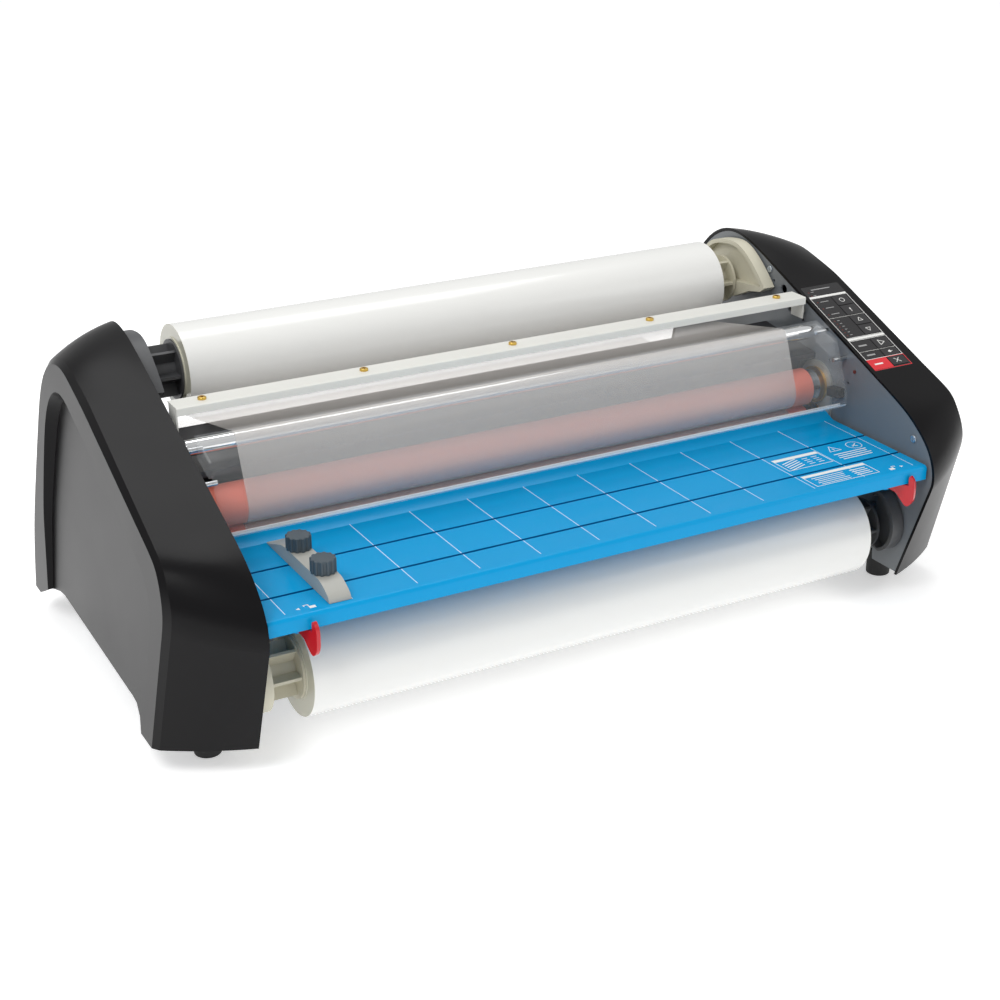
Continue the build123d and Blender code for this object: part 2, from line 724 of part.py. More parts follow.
LAMP_R = 5.5
BRACKET_X = (388.0, 390.0)
BRACKET_TOP = 250.0
with BuildPart() as right_lamp_bracket:
    with BuildSketch(Plane.YZ.offset(BRACKET_X[0])):
        with Locations((HEAT_Y, BRACKET_TOP)):
            Rectangle(18, 105, align=(Align.CENTER, Align.MAX))
    extrude(amount=BRACKET_X[1] - BRACKET_X[0])
    with BuildSketch(Plane.XY.offset(BRACKET_TOP - 2)):
        with Locations(((FRAME_X + FRAME_T + BRACKET_X[1]) / 2, HEAT_Y)):
            Rectangle(BRACKET_X[1] - FRAME_X - FRAME_T, 18)
    extrude(amount=2)
with BuildPart() as heater_lamps:
    add(both_ends(right_lamp_bracket.part))
    with BuildSketch(Plane.YZ.offset(-BRACKET_X[0])):
        with Locations(UPPER_HEAT, LOWER_HEAT):
            Circle(LAMP_R)
    extrude(amount=2 * BRACKET_X[0])
keep(heater_lamps, "heater_lamps")

# ---------------------------------------------------------------- pull rollers
PULL_JOURNAL = 6.0
PULL_END = 385.0


def pull_roller(z):
    """Rubber faced steel roller with a stepped shaft."""
    with BuildPart() as roller:
        for radius, half in ((PULL_R, 346.0), (9.0, 362.0), (PULL_JOURNAL, PULL_END)):
            with BuildSketch(Plane.YZ.offset(-half)):
                with Locations((PULL_Y, z)):
                    Circle(radius)
            extrude(amount=2 * half)
    return roller.part


with BuildPart() as upper_pull_roller:
    add(pull_roller(UPPER_PULL[1]))
keep(upper_pull_roller, "upper_pull_roller")

with BuildPart() as lower_pull_roller:
    add(pull_roller(LOWER_PULL[1]))
keep(lower_pull_roller, "lower_pull_roller")

with BuildPart() as right_pull_bushes:
    for bush_z in (UPPER_PULL[1], LOWER_PULL[1]):
        with BuildSketch(Plane.YZ.offset(FRAME_X)):
            with Locations((PULL_Y, bush_z)):
                Circle(12.0)
                Circle(PULL_JOURNAL + RUN_FIT, mode=Mode.SUBTRACT)
        extrude(amount=BUSH_OUT_X - FRAME_X)
        with BuildSketch(Plane.YZ.offset(FRAME_X)):
            with Locations((PULL_Y, bush_z)):
                Circle(13.5)
                Circle(PULL_JOURNAL + RUN_FIT, mode=Mode.SUBTRACT)
        extrude(amount=-2)
with BuildPart() as roller_bushes:
    add(both_ends(right_bushes.part))
    add(both_ends(right_pull_bushes.part))
keep(roller_bushes, "roller_bushes")

# ---------------------------------------------------------------- idler bars
with BuildPart() as idler_bars:
    for bar_yz in (UPPER_IDLER, LOWER_IDLER):
        for radius, half in ((IDLER_R, 361.0), (IDLER_R - 2, FRAME_X + FRAME_T)):
            with BuildSketch(Plane.YZ.offset(-half)):
                with Locations(bar_yz):
                    Circle(radius)
            extrude(amount=2 * half)
keep(idler_bars, "idler_bars")

# ---------------------------------------------------------------- gear train
IDLER_GEAR = idler_centre()
MOTOR_ANGLE = math.radians(-20)
MOTOR_REACH = pitch_r(IDLER_TEETH) + pitch_r(PINION_TEETH)
MOTOR = (
    IDLER_GEAR[0] + MOTOR_REACH * math.cos(MOTOR_ANGLE),
    IDLER_GEAR[1] + MOTOR_REACH * math.sin(MOTOR_ANGLE),
)
lower_heat_phase = 0.0
upper_heat_phase = meshed(lower_heat_phase, HEAT_TEETH, LOWER_HEAT, HEAT_TEETH, UPPER_HEAT)
idler_phase = meshed(lower_heat_phase, HEAT_TEETH, LOWER_HEAT, IDLER_TEETH, IDLER_GEAR)
lower_pull_phase = meshed(idler_phase, IDLER_TEETH, IDLER_GEAR, PULL_TEETH, LOWER_PULL)
upper_pull_phase = meshed(lower_pull_phase, PULL_TEETH, LOWER_PULL, PULL_TEETH, UPPER_PULL)
pinion_phase = meshed(idler_phase, IDLER_TEETH, IDLER_GEAR, PINION_TEETH, MOTOR)

with BuildPart() as lower_heat_gear:
    add(gear(HEAT_TEETH, LOWER_HEAT, lower_heat_phase, JOURNAL_R))
keep(lower_heat_gear, "lower_heat_gear")

with BuildPart() as upper_heat_gear:
    add(gear(HEAT_TEETH, UPPER_HEAT, upper_heat_phase, JOURNAL_R))
keep(upper_heat_gear, "upper_heat_gear")

with BuildPart() as idler_gear:
    add(gear(IDLER_TEETH, IDLER_GEAR, idler_phase, IDLER_PIN_R + RUN_FIT, lighten=8.0))
keep(idler_gear, "idler_gear")

with BuildPart() as lower_pull_gear:
    add(gear(PULL_TEETH, LOWER_PULL, lower_pull_phase, PULL_JOURNAL, hub=10.0))
keep(lower_pull_gear, "lower_pull_gear")

with BuildPart() as upper_pull_gear:
    add(gear(PULL_TEETH, UPPER_PULL, upper_pull_phase, PULL_JOURNAL, hub=10.0))
keep(upper_pull_gear, "upper_pull_gear")

MOTOR_PLATE = (385.0, 387.0)
MOTOR_SHAFT_R = 4.0
with BuildPart() as motor_pinion:
    add(gear(PINION_TEETH, MOTOR, pinion_phase, MOTOR_SHAFT_R))
    with BuildSketch(Plane.YZ.offset(GEAR_X[0])):
        with Locations(MOTOR):
            Circle(MOTOR_SHAFT_R)
    extrude(amount=MOTOR_PLATE[1] - 0.6 - GEAR_X[0])
keep(motor_pinion, "motor_pinion")

with BuildPart() as drive_motor:
    with BuildSketch(Plane.YZ.offset(MOTOR_PLATE[0])):
        with Locations((64, 111)):
            RectangleRounded(58, 68, 6)
        with Locations(MOTOR):
            Circle(MOTOR_SHAFT_R + RUN_FIT, mode=Mode.SUBTRACT)
    extrude(amount=MOTOR_PLATE[1] - MOTOR_PLATE[0])
    with BuildSketch(Plane.YZ.offset(FRAME_X + FRAME_T)):
        with Locations((87, 92), (87, 137), (45, 83)):
            Circle(4)
    extrude(amount=MOTOR_PLATE[0] - FRAME_X - FRAME_T)
    with BuildSketch(Plane.YZ.offset(MOTOR_PLATE[1])):
        with Locations(MOTOR):
            Circle(26)
    extrude(amount=30)
    with BuildSketch(Plane.YZ.offset(MOTOR_PLATE[1] + 30)):
        with Locations(MOTOR):
            Circle(22)
    extrude(amount=14)
keep(drive_motor, "drive_motor")

# ---------------------------------------------------------------- film rolls, chucks and levers
LEVER_X = (352.0, 366.0)
CHUCK_END = 351.4
FIN_R = 27.0


def film_roll(y, z, radius):
    """Film wound on a core that stands out a little at both ends."""
    with BuildPart() as roll:
        for x0, x1, r in ((FILM_X[0], FILM_X[1], radius), (FILM_X[0] - 1, FILM_X[1] + 1, CORE_R)):
            with BuildSketch(Plane.YZ.offset(x0)):
                with Locations((y, z)):
                    Circle(r)
                    Circle(CORE_BORE_R, mode=Mode.SUBTRACT)
            extrude(amount=x1 - x0)
    return roll.part


def chuck(y, z, roll_end):
    """Right-hand chuck: plug inside the core, hub with six fins, outer disc."""
    steps = (
        (roll_end - 19, roll_end + 1, CORE_BORE_R - 0.2),
        (roll_end + 1, roll_end + 3, 30.5),
        (roll_end + 3, CHUCK_END, 13.0),
        (CHUCK_END - 3, CHUCK_END, FIN_R),
    )
    with BuildPart() as body:
        for x0, x1, r in steps:
            with BuildSketch(Plane.YZ.offset(x0)):
                with Locations((y, z)):
                    Circle(r)
            extrude(amount=x1 - x0)
        with BuildSketch(Plane.YZ.offset(roll_end + 3)):
            with Locations((y, z)):
                with PolarLocations(0, 3):
                    Rectangle(2 * FIN_R - 1, 3)
        extrude(amount=CHUCK_END - 3 - roll_end - 3)
        with BuildSketch(Plane.YZ.offset(roll_end - 19)):
            with Locations((y, z)):
                Circle(SHAFT_R + RUN_FIT)
        extrude(amount=CHUCK_END - roll_end + 19, mode=Mode.SUBTRACT)
    return body.part


# crest of the lever first, then its underside back to the hub
UPPER_CREST = (
    (152, 303), (139, 317), (114, 325), (88, 326), (64, 315), (44, 299), (32, 287),
)
UPPER_UNDER = ((40, 281), (60, 277), (92, 262))
LOWER_CREST = (
    (-178, 114), (-190, 120), (-202, 111), (-212, 94), (-213, 79), (-206, 63), (-192, 53),
)
LOWER_UNDER = ((-182, 56), (-170, 60))
HUB_R = 20.0


def lever(axis, crest, under):
    """Right-hand film tension lever: dished plate on a hub, serrated along its crest."""
    with BuildPart() as body:
        with BuildSketch(Plane.YZ.offset(LEVER_X[0])):
            with BuildLine():
                Spline(crest)
                Polyline(crest[-1], *under, axis, crest[0])
            make_face()
            with Locations(axis):
                Circle(HUB_R)
        extrude(amount=LEVER_X[1] - LEVER_X[0])
        with BuildSketch(Plane.YZ.offset(LEVER_X[0])):
            with BuildLine():
                inner = [(p[0] + (axis[0] - p[0]) * 0.1, p[1] + (axis[1] - p[1]) * 0.1) for p in crest]
                Spline(inner)
                Line(inner[-1], axis)
                Line(axis, inner[0])
            make_face()
            with Locations(axis):
                Circle(12, mode=Mode.SUBTRACT)
        extrude(amount=9, mode=Mode.SUBTRACT)
        with BuildSketch(Plane.YZ.offset(LEVER_X[0])):
            with Locations(axis):
                Circle(SHAFT_R + RUN_FIT)
        extrude(amount=LEVER_X[1] - LEVER_X[0], mode=Mode.SUBTRACT)
    return body.part


with BuildPart() as upper_film_roll:
    add(film_roll(*UPPER_ROLL))
keep(upper_film_roll, "upper_film_roll")

with BuildPart() as lower_film_roll:
    add(film_roll(*LOWER_ROLL))
keep(lower_film_roll, "lower_film_roll")

with BuildPart() as upper_right_chuck:
    add(chuck(*UPPER_ROLL[:2], FILM_X[1]))
keep(upper_right_chuck, "upper_right_chuck")

with BuildPart() as upper_left_chuck:
    add(mirror(chuck(*UPPER_ROLL[:2], -FILM_X[0]), about=Plane.YZ))
keep(upper_left_chuck, "upper_left_chuck")

with BuildPart() as lower_right_chuck:
    add(chuck(*LOWER_ROLL[:2], FILM_X[1]))
keep(lower_right_chuck, "lower_right_chuck")

with BuildPart() as lower_left_chuck:
    add(mirror(chuck(*LOWER_ROLL[:2], -FILM_X[0]), about=Plane.YZ))
keep(lower_left_chuck, "lower_left_chuck")

with BuildPart() as upper_right_lever:
    add(lever(UPPER_ROLL[:2], UPPER_CREST, UPPER_UNDER))
keep(upper_right_lever, "upper_right_lever")

with BuildPart() as upper_left_lever:
    add(mirror(lever(UPPER_ROLL[:2], UPPER_CREST, UPPER_UNDER), about=Plane.YZ))
keep(upper_left_lever, "upper_left_lever")

with BuildPart() as lower_right_lever:
    add(lever(LOWER_ROLL[:2], LOWER_CREST, LOWER_UNDER))
keep(lower_right_lever, "lower_right_lever")

with BuildPart() as lower_left_lever:
    add(mirror(lever(LOWER_ROLL[:2], LOWER_CREST, LOWER_UNDER), about=Plane.YZ))
keep(lower_left_lever, "lower_left_lever")

SHAFT_IN = 301.0
with BuildPart() as stub_shafts:
    for side in (-1, 1):
        with BuildSketch(Plane.YZ.offset(side * SHAFT_IN)):
            with Locations(UPPER_ROLL[:2], LOWER_ROLL[:2]):
                Circle(SHAFT_R)
        extrude(amount=side * (FRAME_X + FRAME_T + 2 - SHAFT_IN))
        # hinge pin of the shield and the stop under it
        with BuildSketch(Plane.YZ.offset(side * FRAME_X)):
            with Locations(PIVOT, SHIELD_STOP):
                Circle(PIN_R)
        extrude(amount=-side * 17)
    # pin of the large idler gear
    with BuildSketch(Plane.YZ.offset(FRAME_X + FRAME_T)):
        with Locations(idler_centre()):
            Circle(IDLER_PIN_R)
    extrude(amount=13)
keep(stub_shafts, "stub_shafts")

# ---------------------------------------------------------------- threaded film
# A run of film is a chain of circles: y, z, radius to the middle of the film, and the
# sense in which the film goes round, +1 anticlockwise and -1 clockwise seen from +X.
WEB_OFF = WEB_GAP + WEB_T / 2
UPPER_RUN = (
    (*UPPER_ROLL[:2], UPPER_ROLL[2] + WEB_OFF, -1),
    (*UPPER_IDLER, IDLER_R + WEB_OFF, 1),
    (*UPPER_HEAT, HEAT_R + WEB_OFF, 1),
)
LOWER_RUN = (
    (*LOWER_ROLL[:2], LOWER_ROLL[2] + WEB_OFF, 1),
    (*LOWER_IDLER, IDLER_R + WEB_OFF, -1),
    (*LOWER_HEAT, HEAT_R + WEB_OFF, -1),
)
WEB_OUT_Y = 232.0


def tangent(first, second):
    """Straight film between two circles: both touching points and its direction."""
    dy, dz = second[0] - first[0], second[1] - first[1]
    across = second[3] * second[2] - first[3] * first[2]
    along = math.sqrt(dy**2 + dz**2 - across**2)
    heading = math.atan2(dz, dy) - math.atan2(across, along)
    left = (-math.sin(heading), math.cos(heading))
    start = (first[0] - first[3] * first[2] * left[0], first[1] - first[3] * first[2] * left[1])
    end = (second[0] - second[3] * second[2] * left[0], second[1] - second[3] * second[2] * left[1])
    return start, end, heading


def straight_film(start, end):
    """Thin rectangle along a straight run."""
    dy, dz = end[0] - start[0], end[1] - start[1]
    far = math.hypot(dy, dz)
    oy, oz = -dz / far * WEB_T / 2, dy / far * WEB_T / 2
    with BuildSketch(Plane.XY) as strip:
        Polygon(
            (start[0] - oy, start[1] - oz), (end[0] - oy, end[1] - oz),
            (end[0] + oy, end[1] + oz), (start[0] + oy, start[1] + oz), align=None,
        )
    return strip.sketch


def wrapped_film(circle, arrive, leave):
    """Thin ring sector where the film goes round a circle, between two headings."""
    y, z, radius, sense = circle
    a0 = arrive - sense * math.pi / 2
    a1 = leave - sense * math.pi / 2
    sweep = (a1 - a0) * sense % (2 * math.pi)
    with BuildSketch(Plane.XY) as strip:
        with BuildLine():
            for r in (radius - WEB_T / 2, radius + WEB_T / 2):
                CenterArc((y, z), r, math.degrees(a0), math.degrees(sense * sweep))
            for angle in (a0, a0 + sense * sweep):
                Line(
                    (y + (radius - WEB_T / 2) * math.cos(angle), z + (radius - WEB_T / 2) * math.sin(angle)),
                    (y + (radius + WEB_T / 2) * math.cos(angle), z + (radius + WEB_T / 2) * math.sin(angle)),
                )
        make_face()
    return strip.sketch


with BuildPart() as film_webs:
    with BuildSketch(Plane.YZ.offset(FILM_X[0])):
        for run in (UPPER_RUN, LOWER_RUN):
            start, end, first_heading = tangent(run[0], run[1])
            add(straight_film(start, end))
            start, end, heading = tangent(run[1], run[2])
            add(straight_film(start, end))
            add(wrapped_film(run[1], first_heading, heading))
            add(wrapped_film(run[2], heading, 0))
        add(straight_film((HEAT_Y - 3, NIP_Z), (WEB_OUT_Y, NIP_Z)))
    extrude(amount=FILM_X[1] - FILM_X[0])
keep(film_webs, "film_webs")

# ---------------------------------------------------------------- feed table
LATCH_X = 330.0
LATCH_Y = -219.0
LATCH_PIN_R = 2.0
with BuildPart() as feed_table:
    with BuildSketch(Plane.YZ.offset(-TABLE_HALF)):
        with BuildLine():
            Line((TABLE_FRONT, 152), (TABLE_FRONT, TABLE_Z - 4))
            TangentArc((TABLE_FRONT, TABLE_Z - 4), (TABLE_FRONT + 4, TABLE_Z), tangent=(0, 1))
            Polyline(
                (TABLE_FRONT + 4, TABLE_Z), (-88, TABLE_Z), (-71, 174.5), (-71, 172.5), (-87.5, TABLE_Z - 3),
                (-93, TABLE_Z - 3), (-93, 153), (-96, 153), (-96, TABLE_Z - 3), (TABLE_FRONT + 3, TABLE_Z - 3),
                (TABLE_FRONT + 3, 155), (TABLE_FRONT + 10, 155), (TABLE_FRONT + 10, 152), (TABLE_FRONT, 152),
            )
        make_face()
        for slot_y in SLOT_Y:
            with Locations((slot_y, TABLE_Z - 9)):
                Rectangle(16, 9, align=(Align.CENTER, Align.MIN))
            with Locations((slot_y, TABLE_Z - 6.6)):
                Rectangle(9, 3.6, align=(Align.CENTER, Align.MIN), mode=Mode.SUBTRACT)
            with Locations((slot_y, TABLE_Z - 4)):
                Rectangle(SLOT_W, 5, align=(Align.CENTER, Align.MIN), mode=Mode.SUBTRACT)
    extrude(amount=2 * TABLE_HALF)
    # hinge bosses of the two latches
    for latch_x in (-LATCH_X, LATCH_X):
        with BuildSketch(Plane.XY.offset(TABLE_Z - 3)):
            with Locations((latch_x, LATCH_Y)):
                Circle(5)
        extrude(amount=-6)
        with BuildSketch(Plane.XY.offset(TABLE_Z - 9)):
            with Locations((latch_x, LATCH_Y)):
                Circle(LATCH_PIN_R)
        extrude(amount=-16)
        with BuildSketch(Plane.XY.offset(TABLE_Z - 25)):
            with Locations((latch_x, LATCH_Y)):
                Circle(4)
        extrude(amount=-1.5)
keep(feed_table, "feed_table")

# ---------------------------------------------------------------- edge guide
GUIDE_LOW = TABLE_Z + 0.3
GUIDE_TOP = 181.5
STUD_R = 1.25
with BuildPart() as edge_guide:
    with BuildSketch(Plane.YZ.offset(GUIDE_X - GUIDE_W / 2)):
        with BuildLine():
            Line((-89, GUIDE_LOW), (-89, GUIDE_LOW + 1))
            Spline(
                (-89, GUIDE_LOW + 1), (-107, 173.5), (-131, GUIDE_TOP - 0.5), (-145, GUIDE_TOP),
                tangents=[(-1, 0.1), (-1, 0)],
            )
            Line((-145, GUIDE_TOP), (-207, GUIDE_TOP))
            Spline((-207, GUIDE_TOP), (-224, 176.5), (-233, GUIDE_LOW), tangents=[(-1, 0), (-0.2, -1)])
            Line((-233, GUIDE_LOW), (-89, GUIDE_LOW))
        make_face()
    extrude(amount=GUIDE_W)
    with BuildSketch(Plane.XY.offset(GUIDE_LOW)):
        with Locations(*[(GUIDE_X, slot_y) for slot_y in SLOT_Y]):
            Circle(STUD_R + 0.3)
    extrude(amount=20, mode=Mode.SUBTRACT)
keep(edge_guide, "edge_guide")

NUT_Z = (TABLE_Z - 6.2, TABLE_Z - 3.4)
KNOB_Z = (GUIDE_TOP + 0.3, GUIDE_TOP + 13.8)
with BuildPart() as guide_nuts:
    for slot_y in SLOT_Y:
        with BuildSketch(Plane.XY.offset(NUT_Z[0])):
            with Locations((GUIDE_X, slot_y)):
                Rectangle(15, 8.2)
        extrude(amount=NUT_Z[1] - NUT_Z[0])
        with BuildSketch(Plane.XY.offset(NUT_Z[1])):
            with Locations((GUIDE_X, slot_y)):
                Circle(STUD_R)
        extrude(amount=KNOB_Z[0] + 8 - NUT_Z[1])
keep(guide_nuts, "guide_nuts")


def knob(y):
    """Clamping knob with twelve grip lobes on a blind bore."""
    with BuildPart() as body:
        with BuildSketch(Plane.XY.offset(KNOB_Z[0])):
            with Locations((GUIDE_X, y)):
                Circle(KNOB_R - 1.4)
                with PolarLocations(KNOB_R - 1.8, 12):
                    Circle(1.8)
        extrude(amount=KNOB_Z[1] - KNOB_Z[0])
        chamfer(body.faces().sort_by(Axis.Z)[-1].edges(), 0.5)
        with BuildSketch(Plane.XY.offset(KNOB_Z[0])):
            with Locations((GUIDE_X, y)):
                Circle(STUD_R + RUN_FIT)
        extrude(amount=8.5, mode=Mode.SUBTRACT)
    return body.part


with BuildPart() as front_guide_knob:
    add(knob(SLOT_Y[0]))
keep(front_guide_knob, "front_guide_knob")

with BuildPart() as rear_guide_knob:
    add(knob(SLOT_Y[1]))
keep(rear_guide_knob, "rear_guide_knob")

# ---------------------------------------------------------------- table latches
LATCH_HUB_Z = (TABLE_Z - 24.5, TABLE_Z - 9.4)
LEFT_SWING = math.radians(12)     # each leaf as it rests, swung to the operator's right
RIGHT_SWING = math.radians(25)


def table_latch(x, swing):
    """Latch: hub on its pin and a leaf that reaches round the table's nose."""
    leaf = Plane(
        origin=(x, LATCH_Y, 0),
        x_dir=(math.sin(swing), -math.cos(swing), 0),
        z_dir=(-math.cos(swing), -math.sin(swing), 0),
    )
    # sketch axes: outwards from the pin, and up
    with BuildPart() as body:
        with BuildSketch(leaf.offset(-2)):
            with BuildLine():
                Polyline((26.6, 150.6), (3, 150.6), (3, 143.5), (13, 140), (22, 130))
                Spline((22, 130), (26.5, 127.8), (31, 132), (33.2, 145), (31, 158), (29, 160.5), (26.6, 150.6))
            make_face()
        extrude(amount=4)
        with BuildSketch(Plane.XY.offset(LATCH_HUB_Z[0])):
            with Locations((x, LATCH_Y)):
                Circle(5.5)
        extrude(amount=LATCH_HUB_Z[1] - LATCH_HUB_Z[0])
        with BuildSketch(Plane.XY.offset(LATCH_HUB_Z[0])):
            with Locations((x, LATCH_Y)):
                Circle(LATCH_PIN_R + RUN_FIT)
        extrude(amount=LATCH_HUB_Z[1] - LATCH_HUB_Z[0], mode=Mode.SUBTRACT)
    return body.part


with BuildPart() as right_table_latch:
    add(table_latch(LATCH_X, RIGHT_SWING))
keep(right_table_latch, "right_table_latch")

with BuildPart() as left_table_latch:
    add(table_latch(-LATCH_X, LEFT_SWING))
keep(left_table_latch, "left_table_latch")

# ---------------------------------------------------------------- safety shield
SHIELD_HALF = 356.0
SHIELD_T = 3.0
with BuildPart() as safety_shield:
    with BuildSketch(Plane.YZ.offset(-SHIELD_HALF)):
        with BuildLine():
            FilletPolyline((-58, 272.8), (-94, 261), (-117, 205), (-116, 194), (-106, 192), radius=4)
        trace(line_width=SHIELD_T)
    extrude(amount=2 * SHIELD_HALF)
    for plate_x in (-SHIELD_HALF, SHIELD_HALF - SHIELD_T):
        with BuildSketch(Plane.YZ.offset(plate_x)):
            Polygon(
                (-58, 270.5), (-94, 259), (-99, 249), (-90, 243), (-62, 252), (-56, 262), align=None,
            )
            with Locations(PIVOT):
                Circle(PIN_R + RUN_FIT, mode=Mode.SUBTRACT)
        extrude(amount=SHIELD_T)
keep(safety_shield, "safety_shield")
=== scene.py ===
import math

import bpy
from mathutils import Matrix, Vector


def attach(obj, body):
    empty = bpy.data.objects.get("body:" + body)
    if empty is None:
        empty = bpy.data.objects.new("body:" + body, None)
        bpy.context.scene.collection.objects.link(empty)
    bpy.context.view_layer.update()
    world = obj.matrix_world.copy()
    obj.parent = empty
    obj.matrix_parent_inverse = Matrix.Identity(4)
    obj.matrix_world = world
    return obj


# Desktop roll laminator. Metres, +Z up, the operator stands at -Y.
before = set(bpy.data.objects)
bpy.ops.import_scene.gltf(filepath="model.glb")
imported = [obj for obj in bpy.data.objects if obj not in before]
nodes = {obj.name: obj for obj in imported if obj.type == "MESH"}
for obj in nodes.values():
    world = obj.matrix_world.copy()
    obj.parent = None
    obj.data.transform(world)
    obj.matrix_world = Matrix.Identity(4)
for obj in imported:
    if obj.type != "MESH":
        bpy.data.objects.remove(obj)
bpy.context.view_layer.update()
MM = 0.001


# ------------------------------------------------------------------ materials
def linear(code):
    """Linear colour of a six-digit sRGB code."""
    out = []
    for i in (0, 2, 4):
        c = int(code[i:i + 2], 16) / 255
        out.append(c / 12.92 if c <= 0.04045 else ((c + 0.055) / 1.055) ** 2.4)
    return (*out, 1.0)


def put(tree, kind, links=None, **settings):
    """Adds a shader node; settings are its attributes, links feed its inputs by name or index."""
    made = tree.nodes.new(kind)
    for key, value in settings.items():
        setattr(made, key, value)
    for key, value in (links or {}).items():
        if isinstance(value, bpy.types.NodeSocket):
            tree.links.new(value, made.inputs[key])
        else:
            made.inputs[key].default_value = value
    return made


def between(tree, value, low, high):
    """1 where value lies between low and high, else 0."""
    over = put(tree, "ShaderNodeMath", {0: value, 1: low}, operation="GREATER_THAN")
    under = put(tree, "ShaderNodeMath", {0: value, 1: high}, operation="LESS_THAN")
    both = put(tree, "ShaderNodeMath", {0: over.outputs[0], 1: under.outputs[0]}, operation="MULTIPLY")
    return both.outputs[0]


SLOW_SCALE = 12.0
DRAWN_STRETCH = (1.0, 60.0, 60.0)
LEAST_ROUGH = 0.02


def finish(name, code, rough, metal=0.0, grain_mm=1.0, bump=0.03, vary=0.06, mottle=0.04, **extra):
    """A finish with a fine grain in the bump, and a slow mottle in the roughness and colour."""
    mat = bpy.data.materials.new(name)
    mat.use_nodes = True
    tree = mat.node_tree
    shader = tree.nodes["Principled BSDF"]
    place = put(tree, "ShaderNodeTexCoord", name="place").outputs["Object"]
    slow = put(tree, "ShaderNodeTexNoise", {"Vector": place, "Scale": SLOW_SCALE, "Detail": 3.0})
    spread = put(tree, "ShaderNodeMapRange", {
        "Value": slow.outputs["Fac"], "To Min": max(LEAST_ROUGH, rough - vary), "To Max": rough + vary,
    })
    tree.links.new(spread.outputs["Result"], shader.inputs["Roughness"])
    base = linear(code)
    if mottle:
        dark = (*[c * (1 - mottle) for c in base[:3]], 1.0)
        light = (*[min(1.0, c * (1 + mottle)) for c in base[:3]], 1.0)
        mixed = put(tree, "ShaderNodeMix", {0: slow.outputs["Fac"], 6: dark, 7: light}, data_type="RGBA")
        tree.links.new(mixed.outputs[2], shader.inputs["Base Color"])
    else:
        shader.inputs["Base Color"].default_value = base
    if bump:
        grain = put(tree, "ShaderNodeTexNoise", {
            "Vector": place, "Scale": 1000 / grain_mm, "Detail": 2.0,
        }, name="grain")
        raised = put(tree, "ShaderNodeBump", {
            "Height": grain.outputs["Fac"], "Strength": 0.5, "Distance": bump * MM,
        })
        tree.links.new(raised.outputs["Normal"], shader.inputs["Normal"])
    shader.inputs["Metallic"].default_value = metal
    for key, value in extra.items():
        shader.inputs[key.replace("_", " ")].default_value = value
    return mat


def drawn(mat):
    """Draws the grain out into fine lines along X, the length of the bars and rollers."""
    tree = mat.node_tree
    grain = tree.nodes["grain"]
    place = tree.nodes["place"].outputs["Object"]
    scaled = put(tree, "ShaderNodeMapping", {"Vector": place, "Scale": DRAWN_STRETCH})
    grain.inputs["Scale"].default_value = SLOW_SCALE
    tree.links.new(scaled.outputs["Vector"], grain.inputs["Vector"])
    return mat


def overprint(mat, mask_of, code):
    """Paints another colour over the finish where mask_of(tree, x, y, z) is 1."""
    tree = mat.node_tree
    shader = tree.nodes["Principled BSDF"]
    under = shader.inputs["Base Color"].links[0].from_socket
    place = tree.nodes["place"].outputs["Object"]
    axes = put(tree, "ShaderNodeSeparateXYZ", {0: place}).outputs
    mask = mask_of(tree, axes[0], axes[1], axes[2])
    over = put(tree, "ShaderNodeMix", {0: mask, 6: under, 7: linear(code)}, data_type="RGBA")
    tree.links.new(over.outputs[2], shader.inputs["Base Color"])
    return mat


# satin moulded ABS
cover_black = finish("abs_satin_black", "09080a", 0.32, bump=0.006, vary=0.03, Specular_IOR_Level=0.16)
# mid grey satin powder coat
frame_grey = finish("powder_coat_grey", "6c7074", 0.34, grain_mm=0.9, bump=0.015)
# warm grey satin paint on folded steel
rail_grey = finish("satin_paint_warm_grey", "dadad4", 0.35, grain_mm=1.2, bump=0.01)
# yellow passivated steel
brass_screw = finish("yellow_passivate", "d8b45c", 0.28, metal=1.0, grain_mm=0.4)
# bright zinc plate
zinc = finish("bright_zinc", "b9c0c8", 0.3, metal=1.0, grain_mm=0.5)
# polished chrome plate
chrome = drawn(finish("chrome_polished", "e6e7e8", 0.08, metal=1.0, bump=0.004, vary=0.03))
# ground steel
steel = drawn(finish("ground_steel", "c4c6c8", 0.24, metal=1.0, bump=0.01))
# sintered bronze
bronze = finish("sintered_bronze", "c79a4e", 0.3, metal=1.0, grain_mm=0.3)
# plain zinc casting
cast = finish("zinc_casting", "b5b4ae", 0.5, metal=0.6, grain_mm=1.5, bump=0.08)
# matte red silicone rubber
silicone = finish("silicone_brick_red", "d9725f", 0.55, grain_mm=0.5, bump=0.01)
# ground black rubber
pull_rubber = finish("ground_rubber_black", "2b2b2c", 0.6, grain_mm=0.4, bump=0.04)
# natural nylon
nylon = finish("natural_nylon", "dcd7c4", 0.45)
# dark enamel
enamel = finish("dark_enamel", "2c2c2f", 0.4)
# dark grey moulded nylon
chuck_grey = finish("moulded_nylon_dark_grey", "4a4b4d", 0.45, grain_mm=0.8)
# cream moulded nylon
chuck_cream = finish("moulded_nylon_cream", "cbc7b4", 0.45, grain_mm=0.8)
# warm grey moulded nylon
guide_grey = finish("moulded_nylon_warm_grey", "a9a9a3", 0.42, grain_mm=0.8)
# blue grey moulded nylon
knob_grey = finish("moulded_nylon_blue_grey", "424e56", 0.48, grain_mm=0.8)
# glossy red ABS
latch_red = finish("abs_gloss_red", "bd1420", 0.16, grain_mm=3.0, bump=0.01)
